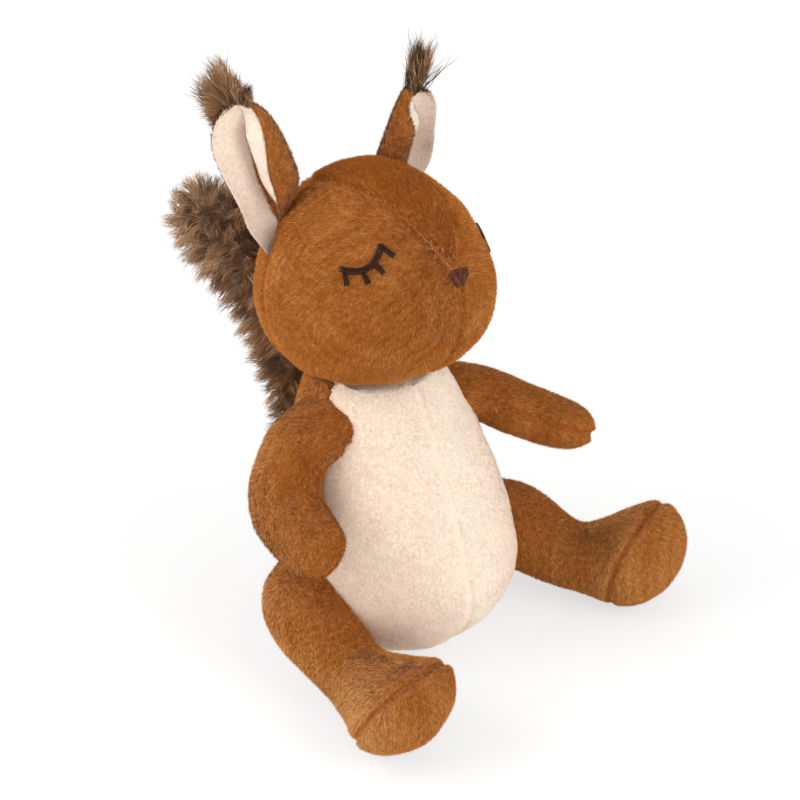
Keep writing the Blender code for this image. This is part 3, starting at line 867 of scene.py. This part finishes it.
def join_rings(shape, rings):
    """Joins each ring of places to the next one, and caps both ends."""
    rings = [[shape.verts.new(spot) for spot in ring] for ring in rings]
    for low_ring, high_ring in zip(rings, rings[1:]):
        for place in range(len(low_ring)):
            corners = (low_ring[place - 1], low_ring[place], high_ring[place], high_ring[place - 1])
            shape.faces.new(corners)
    shape.faces.new(rings[0])
    shape.faces.new(rings[-1])


def closed_skin(name, shape):
    """A smooth new piece from closed skins, with their faces turned outwards."""
    bmesh.ops.recalc_face_normals(shape, faces=shape.faces)
    thing = piece_from(shape, name)
    shade_smooth(thing)
    return thing


def lofted(name, rings):
    shape = bmesh.new()
    join_rings(shape, rings)
    return closed_skin(name, shape)


def limb_rings(path, widths, flat, outward, end_long, end_way):
    """Rings of places round a stuffed tube along a path, up to the middle of its round end."""
    path = from_mm(path)
    outward = Vector(outward)
    turns = [math.radians(9 * step) for step in range(40)]
    long_steps = [(step / 34, 0) for step in range(35)]
    end_steps = [(1, 90 * step / 14) for step in range(1, 15)]
    rings = []
    for share, lean in long_steps + end_steps:
        ahead = on_curve(path, min(share + 0.01, 1)) - on_curve(path, max(share - 0.01, 0))
        ahead = ahead.normalized()
        if end_way:
            ahead = ahead.lerp(Vector(end_way).normalized(), max(0, share - 0.6) / 0.4).normalized()
        out = (outward - ahead * outward.dot(ahead)).normalized()
        aside = ahead.cross(out)
        middle = on_curve(path, share) + ahead * end_long * math.sin(math.radians(lean))
        half = on_curve(widths, share) / 2 * max(math.cos(math.radians(lean)), 0.03)
        rings.append(
            [
                middle + (out * math.cos(turn) * flat + aside * math.sin(turn)) * half
                for turn in turns
            ]
        )
    return rings


def along(path, droop=0.0):
    """A flow that follows the nearest stretch of a path, and also runs down by the droop."""
    line = np.array(dense_line(path, 3 * MM))
    middles = (line[1:] + line[:-1]) / 2
    steps = unit(line[1:] - line[:-1])

    def flow(roots):
        nearest, _ = nearest_of(roots, middles)
        return steps[nearest] - np.array((0, 0, droop))

    return flow


def limb_painted_light(path, painted_foot_light):
    """Painted light on the pile of a limb: paler on its outer right side, which faces the lamp
    behind it, and paler by painted_foot_light at its end.
    """
    line = np.array(dense_line(path, 3 * MM))

    def shade(roots):
        nearest, _ = nearest_of(roots, line)
        aside = (roots - line[nearest]) @ np.array((-0.788, 0.616, 0)) / (14 * MM)
        at_end = np.clip((nearest / len(line) - 0.55) / 0.2, 0, 1)
        return 0.34 * np.clip(aside, -0.3, 1) + painted_foot_light * at_end - 0.12

    return shade


def outside_body(roots):
    """True for roots that the body's cloth does not cover."""
    shown = []
    for root in roots:
        near, way, _, _ = body_tree.find_nearest(Vector(root))
        shown.append((Vector(root) - near).dot(way) > -0.5 * MM)
    return np.array(shown)


LIMB_GROWN = (7.2, 1.7 * MM, 0.165 * MM, 34)
for number, (limb_name, (panels, path, sizes)) in enumerate(limbs.items()):
    # Painted light: each leg's pile is made paler towards its foot.
    droop, painted_foot_light = (2.6, 0.24) if limb_name.startswith("leg") else (0.6, 0.0)
    limb_cloth = lofted(limb_name + "_cloth", limb_rings(path, *sizes))
    for grain, rounds in ((1.1 * MM, 14), (2.2 * MM, 5)):
        one_skin(limb_cloth, grain, rounds)
    limb_seams = stuffed(limb_cloth, panels, 0.8 * MM)
    clear_of_floor(limb_cloth)
    limb_pile = pile(
        limb_name + "_pile", limb_cloth, limb_seams, LIMB_GROWN, along(path, droop),
        seed=31 + 7 * number, keep=outside_body, shade=limb_painted_light(path, painted_foot_light),
    )
    add_finish(limb_pile, brown_pile)
    add_finish(limb_cloth, brown_ground)
    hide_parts(*panels, limb_name + "_filling")

# ---------------------------------------------------------------- Ears
# Each ear is a leaf of brown plush lined with cream, folded lengthwise so that its inner edge
# rolls over the lining, and sewn into the seam behind the cheek with its foot pinched.
# For each ear: its side, the middle of its foot, the ways up, ahead and across, and how wide its
# outer half is low down, high up and at the foot, as a share of the widest.
ears = {
    "ear_right": (
        -1, (-0.0257, 0.0375, 0.1586),
        (-0.170, 0.220, 0.961), (-0.540, -0.836, 0.096), (0.824, -0.503, 0.261),
        (0.56, 0.88, 0.62),
    ),
    "ear_left": (
        1, (0.0251, 0.0429, 0.1545),
        (0.051, -0.334, 0.941), (0.352, -0.876, -0.329), (0.935, 0.347, 0.073),
        (1.00, 0.40, 0.36),
    ),
}
EAR_LONG = 45 * MM
EAR_FOOT = -0.22
EAR_HALF_LEAST = 3.4 * MM
EAR_HALF_MORE = 9.3 * MM


def smooth_step(low, high, value):
    share = min(max((value - low) / (high - low), 0), 1)
    return share * share * (3 - 2 * share)


def ear_rings(side, base, up, facing, across, widths):
    """Rings of the lining and of the outer leaf, from the sewn foot to the tip."""
    base, up, facing = Vector(base), Vector(up), Vector(facing)
    inward = Vector(across) * -side
    low_width, high_width, foot_width = widths
    lining = []
    outer = []
    steps = 32
    for step in range(steps + 1):
        rise = EAR_FOOT + (1 - EAR_FOOT) * step / steps
        swell = max(math.sin(math.radians(180 * min(rise * 0.60 + 0.27, 1))), 0.001) ** 0.8
        tip = math.sqrt(max(1 - ((max(rise, 0.80) - 0.80) / 0.204) ** 2, 0.0))
        foot = foot_width + (1 - foot_width) * smooth_step(EAR_FOOT, 0.10, rise)
        open_share = low_width + (high_width - low_width) * smooth_step(0.15, 0.70, rise)
        open_share *= 1 - 0.25 * smooth_step(0.72, 1.0, rise)
        wide = (EAR_HALF_LEAST + EAR_HALF_MORE * open_share) * (0.20 + 0.80 * tip) * foot
        narrow_share = swell if rise > 0.38 else 1
        narrow = (EAR_HALF_LEAST + EAR_HALF_MORE * narrow_share) * (0.20 + 0.80 * tip)
        narrow *= 0.35 + 0.65 * smooth_step(-0.02, 0.36, rise)
        roll = smooth_step(-0.05, 0.25, rise) * (1 - smooth_step(0.74, 0.96, rise))
        crease = 0.05 + 0.33 * (1 - smooth_step(0.06, 0.40, rise))
        seam = crease + 0.04 + 0.20 * smooth_step(0.10, 0.40, rise)
        seam += 0.40 * smooth_step(0.38, 0.92, rise)

        def bowl(aside):
            return (10.0 if aside < 0 else 2.0) * MM * swell * aside * aside

        def spot(aside, forward):
            half = wide if aside < 0 else narrow
            flat = base + up * EAR_LONG * rise + inward * half * aside
            return flat + facing * (forward + bowl(aside))

        turned_in = [
            Vector((-1.0, 0.7 * MM)),
            Vector((-0.50, 1.0 * MM)),
            Vector((crease - 0.16, 1.0 * MM - 0.6 * MM * roll)),
            Vector((crease + 0.10, 1.0 * MM - 1.2 * MM * roll)),
            Vector((crease + 0.15 + 0.03 * roll, 1.0 * MM + 0.8 * MM * roll)),
            Vector((crease + 0.20 - 0.20 * roll, 1.0 * MM + 3.2 * MM * roll)),
            Vector((crease + 0.24 - 0.18 * roll, 1.0 * MM + 5.6 * MM * roll)),
            Vector((seam + 0.02, 1.0 * MM + 6.4 * MM * roll)),
        ]
        lining_line = [on_curve(turned_in, number / 30) for number in range(31)]
        lining_ring = [spot(*place) for place in lining_line]
        for share in (0.98, 0.75, 0.5, 0.25, 0.02):
            lining_ring.append(spot(-0.98 + (seam + 0.98) * share, -0.3 * MM))
        lining.append(lining_ring)
        over = [
            Vector((seam, 0.7 * MM + 6.4 * MM * roll)),
            Vector((seam + 0.45 * (1 - seam), 1.0 * MM + 6.2 * MM * roll)),
            Vector((0.97, 0.6 * MM + 3.8 * MM * roll)),
            Vector((1.0, -0.4 * MM + 0.8 * MM * roll)),
            Vector((0.80, -2.2 * MM)),
            Vector((0.35, -2.6 * MM)),
            Vector((-0.35, -2.6 * MM)),
            Vector((-0.80, -1.9 * MM)),
            Vector((-0.96, -0.9 * MM)),
            Vector((-0.97, -0.3 * MM)),
        ]
        outer_ring = [spot(*on_curve(over, number / 34)) for number in range(35)]
        for share in (0.0, 0.25, 0.5, 0.75):
            outer_ring.append(spot(-0.92 + (seam + 0.92) * share, -0.9 * MM))
        outer.append(outer_ring)
    return lining, outer


# The lining is the belly's cream, made paler here: painted light for a lining that the lamps reach
# less.
cream_pile_painted_lit = hair_finish(
    "cream_pile_painted_lit", (0.96, 0.73, 0.61), (0.99, 0.82, 0.71), (0.99, 0.90, 0.82), 1.0, 0.15
)
LINING_GROWN = (7.5, 1.0 * MM, 0.14 * MM, 15)
OUTER_GROWN = (7.0, 1.7 * MM, 0.155 * MM, 36)
for number, (ear_name, (side, base, up, facing, across, widths)) in enumerate(ears.items()):
    lining_rings, outer_rings = ear_rings(side, base, up, facing, across, widths)
    towards_tip = np.array(up)

    def upward(roots):
        return np.tile(towards_tip, (len(roots), 1))

    for part, rings, ground, finish, slot_name, grown in (
        ("lining", lining_rings, cream_ground, cream_pile_painted_lit, "cream_plush", LINING_GROWN),
        ("outer", outer_rings, brown_ground, brown_pile, "brown_plush", OUTER_GROWN),
    ):
        leaf = lofted(f"{ear_name}_{part}_cloth", rings)
        finer(leaf)
        seed = 61 + 5 * number + len(part)
        leaf_pile = pile(f"{ear_name}_{part}_pile", leaf, None, grown, upward, seed)
        add_finish(leaf_pile, finish)
        add_finish(leaf, ground)
        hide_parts(f"{ear_name}_{part}")

# ---------------------------------------------------------------- Ear tufts and tail
# Long soft fur in locks, taupe, with painted shade that darkens it towards the roots: a tuft
# sewn into the tip of each ear, and the whole tail, which is a stuffed club of two halves behind
# the back.
taupe_fur = hair_finish(
    "taupe_fur", (0.16, 0.075, 0.032), (0.34, 0.172, 0.080), (0.58, 0.355, 0.205), 0.5, 0.15, 0.6
)
taupe_ground = ground_finish("taupe_ground", (0.16, 0.085, 0.045), 700)


def locks(name, roots, outs, lie, lengths, chance, shape, shade=0.0):
    """Long fur in curly locks: shape is (hairs per lock, gather, curl, spread, steps)."""
    per_lock, gather, curl, shift, steps = shape
    count = len(roots)
    heads = roots[chance.choice(count, max(4, count // per_lock), replace=False)]
    nearest, reach = nearest_of(roots, heads)
    head_shift = chance.normal(size=(len(heads), 3)) * shift
    head_long = chance.uniform(0.75, 1.25, len(heads))
    head_tone = chance.normal(size=len(heads)) * 0.15
    head_turn = chance.uniform(0, math.tau, len(heads))
    ahead = unit(lie + head_shift[nearest] + chance.normal(size=(count, 3)) * 0.3 * shift)
    ahead = unit(ahead + outs * np.maximum(0.25 - dot(ahead, outs), 0))
    long = (lengths * head_long[nearest] * chance.uniform(0.75, 1.1, count))[:, None]
    side = unit(np.cross(ahead, outs + chance.normal(size=(count, 3)) * 0.2))
    other_side = np.cross(side, ahead)
    chain = [roots]
    for step in range(1, steps + 1):
        share = step / steps
        straight = roots + ahead * long * share
        together = heads[nearest] + ahead * long * share
        pull = gather * share**1.4
        twist = (head_turn[nearest] + 4.2 * share + 0.5 * chance.normal(size=count))[:, None]
        wave = (side * np.cos(twist) + other_side * np.sin(twist)) * curl * share
        droop = np.array((0, 0, -1.0)) * long * 0.08 * share**2
        chain.append(straight * (1 - pull) + together * pull + wave + droop)
    chains = np.stack(chain, axis=1)
    flat_side = unit(side + chance.normal(size=(count, 3)) * 0.35)
    facing = unit(np.cross(flat_side, ahead))
    facing *= np.sign(dot(facing, outs) + 1e-9)
    shown = unit(0.55 * outs + 0.45 * facing)
    tones = 0.60 + shade + head_tone[nearest] + 0.12 * chance.normal(size=count)
    tones += 0.12 * ripple(roots, 0.018, per_lock) - 0.10 * reach / (reach.mean() + 1e-9)
    half_widths = np.linspace(0.15, 0.09, steps) * MM
    return hairs(name, chains, flat_side, shown, tones, half_widths)


tail_path = (
    (0, 30, 27), (-1.5, 55, 50), (-0.5, 60, 76),
    (-3, 73, 107), (-12, 96, 130),
)
tail_cloth = form_of("tail_cloth", ["tail_filling"], 2.4 * MM, 6)
shade_smooth(tail_cloth)
sink_into(tail_cloth, body_tree, 2.6 * MM, 2.8 * MM)
tail_roots, tail_outs, tail_chance = roots_on(tail_cloth, per_mm2=2.2, seed=81)
tail_lie = unit(tail_outs * 0.9 + along(tail_path)(tail_roots) * 0.25 + np.array((0, 0, -0.35)))
tail_long = np.full(len(tail_roots), 8.0 * MM)
# Painted light: the tail's fur is paler at its top, which faces the lamps, and darker lower down.
tail_painted_light = 0.20 * np.clip((tail_roots[:, 2] - 0.105) / 0.025, -1, 1)
TAIL_LOCKS = (24, 0.55, 1.2 * MM, 0.34, 3)
tail_fur = locks(
    "tail_fur", tail_roots, tail_outs, tail_lie, tail_long, tail_chance, TAIL_LOCKS, tail_painted_light
)
add_finish(tail_fur, taupe_fur)
add_finish(tail_cloth, taupe_ground)
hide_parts("tail_left", "tail_right", "tail_filling")

TUFT_LOCKS = (50, 0.55, 1.5 * MM, 0.09, 5)
# For each tuft: how far it leans ahead, how much its depth fans it out, and a row of places
# across the tip of the ear, each (way inward, lean outward in degrees, length in mm).
tuft_fans = {
    "ear_right": (
        0.0,
        0.16,
        (
            (-0.85, 85, 5), (-0.75, 52, 9), (-0.60, 34, 12), (-0.40, 20, 15.5), (-0.20, 10, 17),
            (0.0, 4, 15), (0.20, -2, 11), (0.45, -12, 8), (0.70, -20, 6),
        ),
    ),
    "ear_left": (
        -0.14,
        0.045,
        (
            (-0.35, 9, 12), (-0.25, 7, 17), (-0.1, 4, 20), (0.1, 1, 20), (0.25, -2, 15),
            (0.35, -5, 11),
        ),
    ),
}
for number, (ear_name, (side, base, up, facing, across, _)) in enumerate(ears.items()):
    forward, spread, fan = tuft_fans[ear_name]
    fan = np.array(fan)
    chance = np.random.default_rng(91 + number)
    count = 220 * len(fan)
    place = chance.uniform(0, len(fan) - 1, count)
    steps_in = np.arange(len(fan))
    aside, lean, long = (np.interp(place, steps_in, fan[:, column]) for column in range(3))
    aside = aside + 0.05 * chance.normal(size=count)
    lean = np.radians(lean + 4 * chance.normal(size=count))
    inward = np.array(across) * -side
    up = np.array(up)
    facing = np.array(facing)
    deep = chance.normal(size=count)
    tip_rise = EAR_LONG * (0.995 - 0.13 * aside**2)
    roots = np.array(base) + up * tip_rise[:, None] + inward * (aside * 6.0 * MM)[:, None]
    roots = roots + facing * (1.0 * MM * deep)[:, None]
    lie = up * np.cos(lean)[:, None] - inward * np.sin(lean)[:, None]
    lie = lie + facing * (forward + spread * deep)[:, None]
    lie = unit(lie)
    outs = unit(lie * 0.6 + np.array((0, 0, 0.8)) + facing * 0.45 * np.sign(deep)[:, None])
    tuft = locks(f"{ear_name}_tuft_fur", roots, outs, lie, long * MM, chance, TUFT_LOCKS, 0.15)
    add_finish(tuft, taupe_fur)
    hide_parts(f"{ear_name}_tuft")

# ---------------------------------------------------------------- Eyes
# Each closed eye is an arc with four lashes in satin stitch: two rows of short dark brown
# threads across the line, which meet at a paler split along its middle.


def thread_finish(name, dark, light, scale):
    """Material of embroidery thread: smooth, with a fine mottle."""
    finish, _, _, shader = parts = new_finish(name)
    two_tones(parts, scale, 3, ((0.35, dark), (0.75, light)))
    preset(shader, {"Roughness": 0.55, "Specular IOR Level": 0.2})
    return finish


def way_along(spots, place):
    """The way that a line of places runs at one of them."""
    return (spots[min(place + 1, len(spots) - 1)] - spots[max(place - 1, 0)]).normalized()


def threads(name, courses, thickness):
    """One mesh of thin round threads, each along its own course of places."""
    shape = bmesh.new()
    around = 6
    turns = [math.tau * step / around for step in range(around)]
    for course in courses:
        rings = []
        for place, spot in enumerate(course):
            ahead = way_along(course, place)
            one = ahead.orthogonal().normalized()
            two = ahead.cross(one)
            radius = thickness / 2 * (0.45 if place in (0, len(course) - 1) else 1)
            rings.append(
                [spot + (one * math.cos(turn) + two * math.sin(turn)) * radius for turn in turns]
            )
        join_rings(shape, rings)
    return closed_skin(name, shape)


head_surface = skin_tree(head_cloth)
eye_thread = thread_finish("eye_thread", (0.014, 0.005, 0.003), (0.05, 0.017, 0.009), 2500)
for eye_name, lines in eye_lines.items():
    courses = []
    for number, line in enumerate(lines):
        half = (1.05 if number == 0 else 0.85) * MM
        spots = dense_line(line, 0.34 * MM)
        for place, spot in enumerate(spots):
            near, out, _, _ = head_surface.find_nearest(spot)
            ahead = way_along(spots, place)
            aside = ahead.cross(out).normalized()
            for half_side in (-1, 1):
                course = []
                for share in (0.12, 0.34, 0.6, 0.85, 1.0):
                    high = (0.75 + 0.55 * math.sin(math.pi * min(share + 0.08, 1)) ** 0.7) * MM
                    across_line = aside * half * share * half_side
                    course.append(near + across_line + ahead * 0.22 * MM * share + out * high)
                courses.append(course)
    eye = threads(eye_name + "_stitches", courses, 0.42 * MM)
    add_finish(eye, eye_thread)
    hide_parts(eye_name)

# ---------------------------------------------------------------- Nose
# The nose is a small triangle of satin stitch in reddish brown thread, laid from its wide top
# edge down to its point, where the gusset and the cheeks meet.
nose_thread = thread_finish("nose_thread", (0.085, 0.022, 0.012), (0.165, 0.050, 0.028), 1800)
courses = []
rows = 17
for number in range(rows):
    aside = -1 + 2 * number / (rows - 1)
    top = NOSE_TOP * (1 - 0.10 * abs(aside))
    foot = -NOSE_FOOT * (1 - abs(aside) ** 1.3)
    foot = min(foot, top - 1.0 * MM)
    course = []
    for share in (0, 0.12, 0.35, 0.65, 0.88, 1):
        rise = top + (foot - top) * share
        narrow = 1 - 0.55 * share * (1 - abs(aside))
        target = nose_tip + nose_right * NOSE_HALF_WIDTH * aside * narrow + nose_up * rise
        near, out, _, _ = head_surface.find_nearest(Vector(target))
        high = (0.7 + 0.75 * math.sin(math.pi * share) ** 0.5 * (1 - 0.5 * aside * aside)) * MM
        course.append(near + out * high)
    courses.append(course)
nose = threads("nose_stitches", courses, 0.52 * MM)
add_finish(nose, nose_thread)
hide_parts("nose")

bpy.ops.object.select_all(action="DESELECT")
